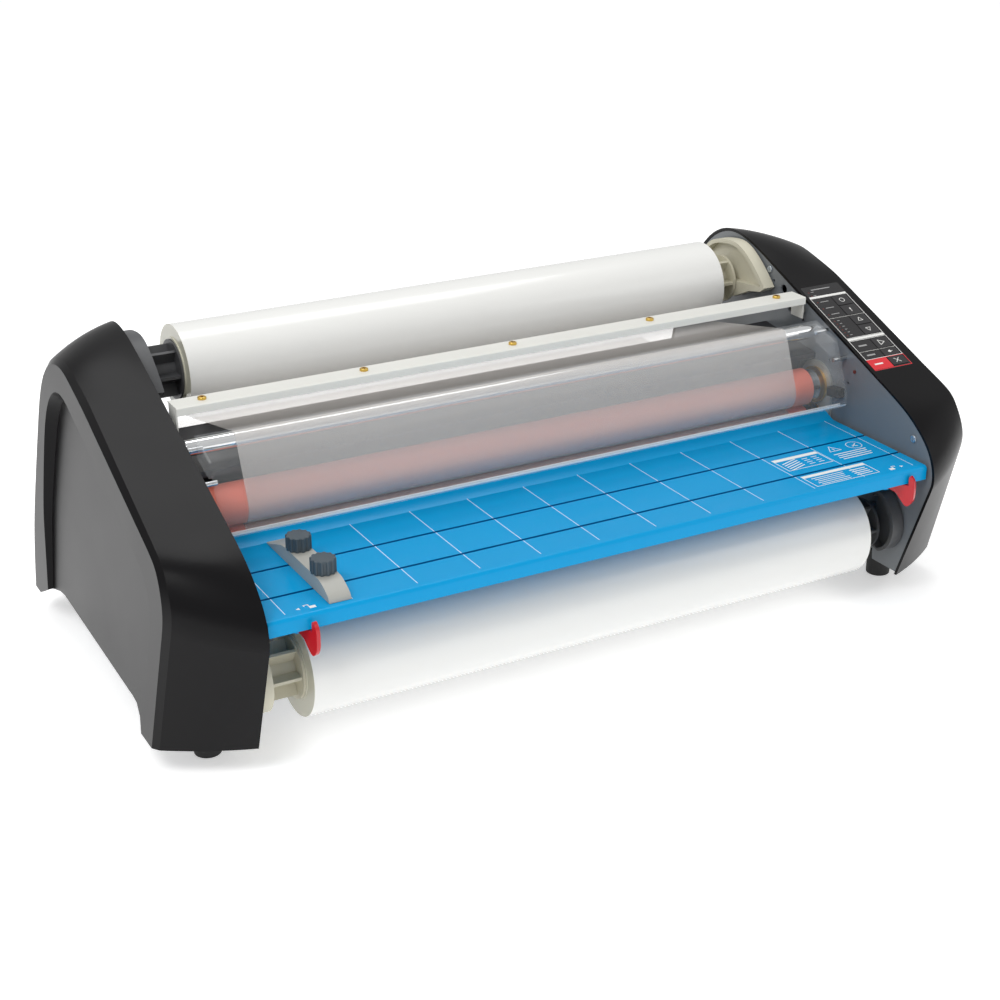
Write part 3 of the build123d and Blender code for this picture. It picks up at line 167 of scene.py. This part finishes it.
# polycarbonate overlay, satin print
panel_black = finish("polycarbonate_print_black", "1b1a1c", 0.26, grain_mm=0.6, bump=0.01)
key_black = finish("polycarbonate_key_black", "232224", 0.3, grain_mm=0.6, bump=0.01)
print_white = finish("screen_print_white", "e9e9e6", 0.4, bump=0.005)
print_grey = finish("screen_print_grey", "9b9b9b", 0.4, bump=0.005)
print_red = finish("screen_print_red", "d5202c", 0.35, bump=0.005)
lens_red = finish("light_pipe_smoked", "5a2a26", 0.2, bump=0.005)
board_green = finish("solder_mask_green", "1f5a35", 0.35)
# moulded black rubber
foot_rubber = finish("rubber_black", "1b1b1b", 0.65, grain_mm=0.8, bump=0.05)
# glossy black nylon
inlet_black = finish("nylon_black", "1d1d1e", 0.3)

# wound film: white on the outside, cream where the cut edges of the winding and core show
WINDING_X = (-0.3138, 0.3218)
film_white = finish("wound_film_white", "e6e6e3", 0.24, bump=0.006, vary=0.03, mottle=0.01, Coat_Weight=0.3)


def roll_ends(tree, x, y, z):
    """The cut edges of the winding, and all of the core."""
    inside = between(tree, x, *WINDING_X)
    return put(tree, "ShaderNodeMath", {0: 1.0, 1: inside}, operation="SUBTRACT").outputs[0]


overprint(film_white, roll_ends, "d3d1bf")

# blue enamel with the white measuring grid printed every 63.5 mm
GRID = 63.5 * MM
GRID_START = 4 * MM - 5.5 * GRID
GRID_LINES = 12
GRID_HALF_LINE = 0.32 * MM
GRID_Y = (-0.2325, -0.0875)
# just under the top face, so that the print stays off the edges
TABLE_TOP_Z = 0.1668
table_blue = finish(
    "enamel_blue", "0097d2", 0.22, bump=0.003, vary=0.02, mottle=0.02, Specular_IOR_Level=0.18,
)


def grid_lines(tree, x, y, z):
    """Thin lines on top of the table, from just behind the nose to the ramp."""
    along = put(tree, "ShaderNodeMath", {0: x, 1: GRID_START}, operation="SUBTRACT").outputs[0]
    steps = put(tree, "ShaderNodeMath", {0: along, 1: GRID}, operation="DIVIDE").outputs[0]
    nearest = put(tree, "ShaderNodeMath", {0: steps}, operation="ROUND").outputs[0]
    apart = put(tree, "ShaderNodeMath", {0: steps, 1: nearest}, operation="SUBTRACT").outputs[0]
    off_line = put(tree, "ShaderNodeMath", {0: apart}, operation="ABSOLUTE").outputs[0]
    half = GRID_HALF_LINE / GRID
    mask = put(tree, "ShaderNodeMath", {0: off_line, 1: half}, operation="LESS_THAN").outputs[0]
    on_top = put(tree, "ShaderNodeMath", {0: z, 1: TABLE_TOP_Z}, operation="GREATER_THAN").outputs[0]
    for part in (between(tree, y, *GRID_Y), on_top, between(tree, steps, -0.5, GRID_LINES - 0.5)):
        mask = put(tree, "ShaderNodeMath", {0: mask, 1: part}, operation="MULTIPLY").outputs[0]
    return mask


overprint(table_blue, grid_lines, "dfeaf2")


SLOTS_Y = ((-0.1992, -0.1958), (-0.1439, -0.1405))
SLOT_TOP_Z = 0.1669


def slot_walls(tree, x, y, z):
    """Shadowed inside of the two T-slots."""
    front, rear = [between(tree, y, *slot) for slot in SLOTS_Y]
    either = put(tree, "ShaderNodeMath", {0: front, 1: rear}, operation="ADD").outputs[0]
    below = put(tree, "ShaderNodeMath", {0: z, 1: SLOT_TOP_Z}, operation="LESS_THAN").outputs[0]
    return put(tree, "ShaderNodeMath", {0: either, 1: below}, operation="MULTIPLY").outputs[0]


overprint(table_blue, slot_walls, "0c62a4")

# frosted clear laminating film
film_clear = finish("laminating_film_frosted", "e4dfda", 0.3, bump=0.0, vary=0.01, mottle=0.0, Alpha=0.3)
# polished clear acrylic: nearly invisible face on, bright at a glancing view, with painted highlight lines
# along its lip
acrylic = finish("acrylic_clear", "f2f5f6", 0.04, bump=0.0, vary=0.01, mottle=0.0)


SHIELD_LIP_HIGHLIGHT_Y = ((-0.1078, -0.104), (-0.1195, -0.1172))
SHIELD_LIP_HIGHLIGHT_Z = 0.1965
GLANCE_BLEND = 0.35
GLANCE_POWER = 3.0


def see_through(mat, clear, glancing, lip):
    """Opacity that grows from face on to glancing, with painted highlights on the edges of the bottom lip:
    lines made opaque white by position.
    """
    tree = mat.node_tree
    shader = tree.nodes["Principled BSDF"]
    place = tree.nodes["place"].outputs["Object"]
    axes = put(tree, "ShaderNodeSeparateXYZ", {0: place}).outputs
    glance = put(tree, "ShaderNodeLayerWeight", {"Blend": GLANCE_BLEND}).outputs["Facing"]
    sharper = put(tree, "ShaderNodeMath", {0: glance, 1: GLANCE_POWER}, operation="POWER").outputs[0]
    spread = put(tree, "ShaderNodeMapRange", {
        "Value": sharper, "To Min": clear, "To Max": glancing,
    }).outputs["Result"]
    # painted highlight: bands along the two edges of the lip, low on the shield, turned opaque white
    rear, front = [between(tree, axes[1], *edge) for edge in SHIELD_LIP_HIGHLIGHT_Y]
    lines = put(tree, "ShaderNodeMath", {0: rear, 1: front}, operation="ADD").outputs[0]
    low = put(tree, "ShaderNodeMath", {0: axes[2], 1: SHIELD_LIP_HIGHLIGHT_Z}, operation="LESS_THAN").outputs[0]
    edges = put(tree, "ShaderNodeMath", {0: lines, 1: low}, operation="MULTIPLY").outputs[0]
    bright = put(tree, "ShaderNodeMath", {0: edges, 1: lip}, operation="MULTIPLY").outputs[0]
    opaque = put(tree, "ShaderNodeMath", {0: spread, 1: bright}, operation="MAXIMUM").outputs[0]
    tree.links.new(opaque, shader.inputs["Alpha"])


# the last value is the opacity of the painted lip highlights
see_through(acrylic, 0.05, 0.42, 0.8)

PAINT = {
    cover_black: ("left_cover", "right_cover"),
    frame_grey: ("left_side_frame", "right_side_frame", "base_pan", "rear_panel"),
    rail_grey: ("cross_rail",),
    brass_screw: ("rail_screws",),
    zinc: ("frame_screws", "guide_nuts"),
    chrome: ("idler_bars",),
    steel: (
        "upper_heat_roller", "lower_heat_roller", "stub_shafts", "heater_lamps", "upper_heat_gear",
        "lower_heat_gear", "lower_pull_gear", "upper_pull_gear", "motor_pinion",
    ),
    bronze: ("roller_bushes",),
    cast: ("bearing_plates",),
    silicone: ("upper_roller_sleeve", "lower_roller_sleeve"),
    pull_rubber: ("upper_pull_roller", "lower_pull_roller"),
    nylon: ("idler_gear",),
    enamel: ("drive_motor", "heat_guard"),
    film_white: ("upper_film_roll", "lower_film_roll"),
    film_clear: ("film_webs",),
    chuck_grey: ("upper_left_chuck", "upper_left_lever", "lower_right_chuck", "lower_right_lever"),
    chuck_cream: ("upper_right_chuck", "upper_right_lever", "lower_left_chuck", "lower_left_lever"),
    table_blue: ("feed_table",),
    guide_grey: ("edge_guide",),
    knob_grey: ("front_guide_knob", "rear_guide_knob"),
    latch_red: ("left_table_latch", "right_table_latch"),
    acrylic: ("safety_shield",),
    panel_black: ("control_overlay",),
    key_black: (
        "standby_key", "preheat_key", "speed_up_key", "speed_down_key", "run_key", "reverse_key", "stop_key",
    ),
    lens_red: ("indicator_lights",),
    board_green: ("control_board",),
    foot_rubber: ("rubber_feet",),
    inlet_black: ("mains_inlet", "power_switch"),
}
for mat, names in PAINT.items():
    for name in names:
        piece = nodes[name]
        if not piece.material_slots:
            piece.data.materials.append(mat)
        for seat in piece.material_slots:
            seat.material = mat


# ------------------------------------------------------------------ printed marks and small trim
def baked(piece, name, mat):
    """Names a new piece and moves its placement into its vertices."""
    piece.name = name
    bpy.ops.object.transform_apply(location=True, rotation=True, scale=True)
    piece.data.materials.append(mat)
    return piece


class Face:
    """A flat place on the object: origin and tilt about X, in mm and degrees."""

    def __init__(self, origin, tilt):
        self.origin = Vector(origin)
        self.tilt = math.radians(tilt)
        self.along = Vector((0, math.cos(self.tilt), math.sin(self.tilt)))
        self.out = Vector((0, -math.sin(self.tilt), math.cos(self.tilt)))

    def at(self, u, v, up):
        """The point u across, v along and up off the face, in metres."""
        return (self.origin + Vector((u, 0, 0)) + self.along * v + self.out * up) * MM

    def spin(self, turn):
        """The rotation that lays a piece on the face, turned by turn degrees."""
        flat = Matrix.Rotation(math.radians(turn), 4, "Z")
        return (Matrix.Rotation(self.tilt, 4, "X") @ flat).to_euler()


def bar(face, mat, u, v, wide, tall, up, thick=0.1, turn=0.0):
    """Thin printed rectangle standing up mm above a face."""
    bpy.ops.object.select_all(action="DESELECT")
    bpy.ops.mesh.primitive_cube_add(
        size=1, location=face.at(u, v, up + thick / 2), rotation=face.spin(turn),
        scale=(wide * MM, tall * MM, thick * MM),
    )
    return baked(bpy.context.object, "mark", mat)


def prism(face, mat, u, v, radius, sides, up, thick=0.1, turn=0.0):
    """Thin printed regular polygon or disc."""
    bpy.ops.object.select_all(action="DESELECT")
    bpy.ops.mesh.primitive_cylinder_add(
        vertices=sides, radius=radius * MM, depth=thick * MM,
        location=face.at(u, v, up + thick / 2), rotation=face.spin(turn),
    )
    return baked(bpy.context.object, "mark", mat)


def ring(face, mat, u, v, radius, line, up):
    """Printed circle line, as thin as the other marks."""
    bpy.ops.object.select_all(action="DESELECT")
    bpy.ops.mesh.primitive_torus_add(
        major_radius=radius * MM, minor_radius=line / 2 * MM, major_segments=32, minor_segments=6,
        location=face.at(u, v, up + 0.05), rotation=(face.tilt, 0, 0),
    )
    bpy.context.object.scale = (1, 1, 0.1 / line)
    return baked(bpy.context.object, "mark", mat)


def box_outline(face, mat, u0, u1, v0, v1, line, up):
    """Four bars round a rectangle."""
    mid_u, mid_v = (u0 + u1) / 2, (v0 + v1) / 2
    return [
        bar(face, mat, mid_u, v0, u1 - u0 + line, line, up),
        bar(face, mat, mid_u, v1, u1 - u0 + line, line, up),
        bar(face, mat, u0, mid_v, line, v1 - v0 - line, up),
        bar(face, mat, u1, mid_v, line, v1 - v0 - line, up),
    ]


def triangle_outline(face, mat, u, v, radius, line, up, turn):
    """Three bars round a triangle whose point is at turn degrees from +u."""
    corners = [
        (u + radius * math.cos(math.radians(turn + a)), v + radius * math.sin(math.radians(turn + a)))
        for a in (0, 120, 240)
    ]
    made = []
    for i in range(3):
        (u0, v0), (u1, v1) = corners[i], corners[(i + 1) % 3]
        made.append(bar(
            face, mat, (u0 + u1) / 2, (v0 + v1) / 2, math.hypot(u1 - u0, v1 - v0) + line * 0.6, line, up,
            turn=math.degrees(math.atan2(v1 - v0, u1 - u0)),
        ))
    return made


def grouped(pieces, name, body):
    """Joins pieces into one that rides on a body."""
    bpy.ops.object.select_all(action="DESELECT")
    for piece in pieces:
        piece.select_set(True)
    bpy.context.view_layer.objects.active = pieces[0]
    if len(pieces) > 1:
        bpy.ops.object.join()
    whole = bpy.context.object
    whole.name = name
    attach(whole, body)
    return whole


PANEL = Face((397.5, -74.5, 266.3), 22.4)
INK = 0.02
LEFT = -25.2
RIGHT = 24.8
marks = []
marks += box_outline(PANEL, print_white, LEFT, RIGHT, 17.4, 53.2, 0.6, INK)
marks += box_outline(PANEL, print_white, LEFT, RIGHT, -17.6, 17.4, 0.6, INK)
marks.append(bar(PANEL, print_white, -0.2, 55.0, 50.4, 2.6, INK))
marks.append(bar(PANEL, print_white, -0.2, -20.0, 50.4, 3.2, INK))
marks += box_outline(PANEL, print_white, LEFT, RIGHT, -41.6, -22.6, 0.6, INK)
marks += box_outline(PANEL, print_white, LEFT, RIGHT, -54.6, -41.6, 0.6, INK)
grouped(marks, "overlay_outlines", "frame")

stop = [bar(PANEL, print_red, -12.2, -63.2, 26.6, 16.2, INK, 0.08)]
stop += box_outline(PANEL, print_red, LEFT, RIGHT, -72.2, -55.4, 0.8, INK + 0.04)
grouped(stop, "overlay_stop_field", "frame")

dull = [bar(PANEL, print_grey, -2.0, 67.5, 26.0, 1.4, INK)]
dull.append(bar(PANEL, print_grey, -15.5, 64.0, 4.0, 0.8, INK))
dull.append(bar(PANEL, print_grey, -15.5, 58.0, 4.0, 0.8, INK))
for v in (46, 35, 24):
    dull.append(bar(PANEL, print_grey, -11.0, v, 11.0, 1.0, INK))
for step in range(6):
    dull.append(bar(PANEL, print_grey, -15.0, 5.0 * (step - 2.5), 3.0, 0.8, INK))
for v in (-32, -48):
    dull.append(bar(PANEL, print_grey, -13.5, v, 11.0, 2.2, INK))
grouped(dull, "overlay_legends", "frame")
stop_word = bar(PANEL, print_white, -14.0, -63.2, 11.0, 2.2, INK + 0.1)
grouped([stop_word], "overlay_stop_legend", "frame")

KEY_UP = 0.52
KEY_U = 11.7
grouped(
    [ring(PANEL, print_white, KEY_U, 43.6, 3.0, 0.7, KEY_UP)],
    "standby_icon", "standby_key_body",
)
grouped(
    [
        bar(PANEL, print_white, KEY_U, 25.4, 0.7, 4.6, KEY_UP),
        prism(PANEL, print_white, KEY_U, 28.0, 1.5, 3, KEY_UP),
    ],
    "preheat_icon", "preheat_key_body",
)
grouped(
    triangle_outline(PANEL, print_white, KEY_U, 8.2, 3.6, 0.6, KEY_UP, 90),
    "speed_up_icon", "speed_up_key_body",
)
grouped(
    triangle_outline(PANEL, print_white, KEY_U, -8.2, 3.6, 0.6, KEY_UP, 270),
    "speed_down_icon", "speed_down_key_body",
)
grouped(
    triangle_outline(PANEL, print_white, KEY_U - 0.5, -32.3, 4.6, 0.7, KEY_UP, 0),
    "run_icon", "run_key_body",
)
grouped(
    [
        prism(PANEL, print_white, KEY_U, -48.1, 2.6, 3, KEY_UP, turn=90),
        bar(PANEL, print_white, KEY_U + 2.6, -48.1, 2.6, 0.6, KEY_UP),
    ],
    "reverse_icon", "reverse_key_body",
)
grouped(
    [
        bar(PANEL, print_white, KEY_U, -63.0, 9.6, 0.7, KEY_UP, turn=45),
        bar(PANEL, print_white, KEY_U, -63.0, 9.6, 0.7, KEY_UP, 0.12, turn=-45),
    ],
    "stop_icon", "stop_key_body",
)

TABLE = Face((0, 0, 167), 0)


def padlock(u, v, way):
    """Open padlock with an arrow on its outboard side, which is -1 or 1 along X."""
    return [
        bar(TABLE, print_white, u, v - 1.6, 6.0, 4.2, INK),
        bar(TABLE, print_white, u + way * 2.6, v + 2.0, 0.9, 3.2, INK),
        bar(TABLE, print_white, u + way * 4.6, v + 3.6, 4.8, 0.9, INK),
        bar(TABLE, print_white, u + way * 6.6, v + 2.4, 0.9, 1.6, INK),
        prism(TABLE, print_white, u + way * 13.0, v - 0.5, 2.3, 3, INK, turn=-90 * way),
    ]


table_marks = padlock(-318.5, -228.0, -1) + padlock(327.5, -228.5, 1)
# upper notice: a banner over a framed block of lines
table_marks += box_outline(TABLE, print_white, 231.5, 288.0, -184.0, -153.5, 0.7, INK)
table_marks.append(bar(TABLE, print_white, 259.8, -156.5, 56.0, 5.0, INK))
for row in range(5):
    table_marks.append(bar(TABLE, print_white, 246.0, -163.5 - 4.2 * row, 22.0, 1.3, INK, turn=18))
for column in (266.0, 278.0):
    for row in range(4):
        table_marks.append(bar(TABLE, print_white, column, -164.0 - 4.6 * row, 7.0, 0.9, INK))
# lower notice
table_marks += box_outline(TABLE, print_white, 231.5, 311.0, -230.0, -202.5, 0.7, INK)
table_marks.append(bar(TABLE, print_white, 271.2, -205.2, 79.0, 4.6, INK))
for row in range(5):
    table_marks.append(bar(TABLE, print_white, 258.0, -211.5 - 3.9 * row, 40.0 - 3 * (row % 3), 1.0, INK))
for row in range(4):
    table_marks.append(bar(TABLE, print_white, 296.0, -212.5 - 4.2 * row, 20.0, 1.3, INK))
# pinch and heat signs with three lines under them
table_marks += triangle_outline(TABLE, print_white, 308.5, -158.5, 8.4, 0.8, INK, 90)
table_marks.append(bar(TABLE, print_white, 308.5, -158.6, 0.9, 5.2, INK))
table_marks.append(ring(TABLE, print_white, 336.0, -158.5, 8.6, 0.7, INK))
table_marks.append(bar(TABLE, print_white, 336.0, -158.5, 9.5, 1.0, INK, turn=40))
table_marks.append(bar(TABLE, print_white, 336.0, -160.5, 6.5, 1.0, INK, turn=-35))
for row in range(4):
    table_marks.append(bar(TABLE, print_white, 320.5, -171.0 - 4.6 * row, 42.0 - 4 * (row % 2), 1.4, INK))
grouped(table_marks, "table_marks", "table")

# rubber stop blocks of the shield, one on each side frame
STOP_X = 0.3628
STOP_Y = -0.0905
STOP_Z = 0.2005
STOP_LEAN = -6
STOP_SIZE = (0.0104, 0.019, 0.0105)
STOP_EDGE = 0.0012
for name, side in (("left_shield_stop", -1), ("right_shield_stop", 1)):
    bpy.ops.object.select_all(action="DESELECT")
    bpy.ops.mesh.primitive_cube_add(
        size=1, location=(side * STOP_X, STOP_Y, STOP_Z), rotation=(math.radians(STOP_LEAN), 0, 0),
        scale=STOP_SIZE,
    )
    block = baked(bpy.context.object, name, foot_rubber)
    bpy.ops.object.mode_set(mode="EDIT")
    bpy.ops.mesh.select_all(action="SELECT")
    bpy.ops.mesh.bevel(offset=STOP_EDGE, segments=3, affect="EDGES")
    bpy.ops.object.mode_set(mode="OBJECT")
    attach(block, "frame")


# ------------------------------------------------------------------ studio
WHITE = linear("ffffff")
SKY_STRENGTH = 0.6
FLOOR_SIZE = 24
FLOOR_DROP = 0.5 * MM
FLOOR_GLOW = 0.45
LENS_LENGTH = 63.9
SENSOR_WIDTH = 36.0
CAMERA_PLACE = (-0.8418, -1.5107, 0.8631)
CAMERA_TURN = (66.57, 0, -28.96)


def area_light(name, place, aim, size, power):
    """Soft light at a place, turned to face a point."""
    lamp = bpy.data.lights.new(name, "AREA")
    lamp.shape = "RECTANGLE"
    lamp.size, lamp.size_y = size
    lamp.energy = power
    lamp.color = WHITE[:3]
    holder = bpy.data.objects.new(name, lamp)
    bpy.context.scene.collection.objects.link(holder)
    holder.location = place
    holder.rotation_euler = (Vector(aim) - Vector(place)).to_track_quat("-Z", "Y").to_euler()


area_light("key", (-1.6, -0.9, 2.2), (0, 0, 0.15), (1.2, 0.9), 26)
area_light("fill", (1.9, -1.6, 1.3), (0, 0, 0.15), (1.2, 1.2), 5)
area_light("top", (0.2, 0.7, 2.3), (0, 0, 0.2), (2.0, 0.8), 16)

world = bpy.data.worlds.new("studio")
bpy.context.scene.world = world
world.use_nodes = True
sky = world.node_tree.nodes["Background"]
sky.inputs["Color"].default_value = WHITE
sky.inputs["Strength"].default_value = SKY_STRENGTH

bpy.ops.object.select_all(action="DESELECT")
bpy.ops.mesh.primitive_plane_add(size=FLOOR_SIZE, location=(0, 0, -FLOOR_DROP))
floor = bpy.context.object
floor.name = "floor"
floor.data.materials.append(finish(
    "pale_paper", "f7f7f7", 0.7, bump=0.0, mottle=0.0, Emission_Color=WHITE, Emission_Strength=FLOOR_GLOW,
))

lens = bpy.data.cameras.new("front_left")
lens.lens = LENS_LENGTH
lens.sensor_width = SENSOR_WIDTH
camera = bpy.data.objects.new("front_left", lens)
bpy.context.scene.collection.objects.link(camera)
camera.location = CAMERA_PLACE
camera.rotation_euler = [math.radians(angle) for angle in CAMERA_TURN]
bpy.context.scene.camera = camera
bpy.context.scene.view_settings.view_transform = "Standard"
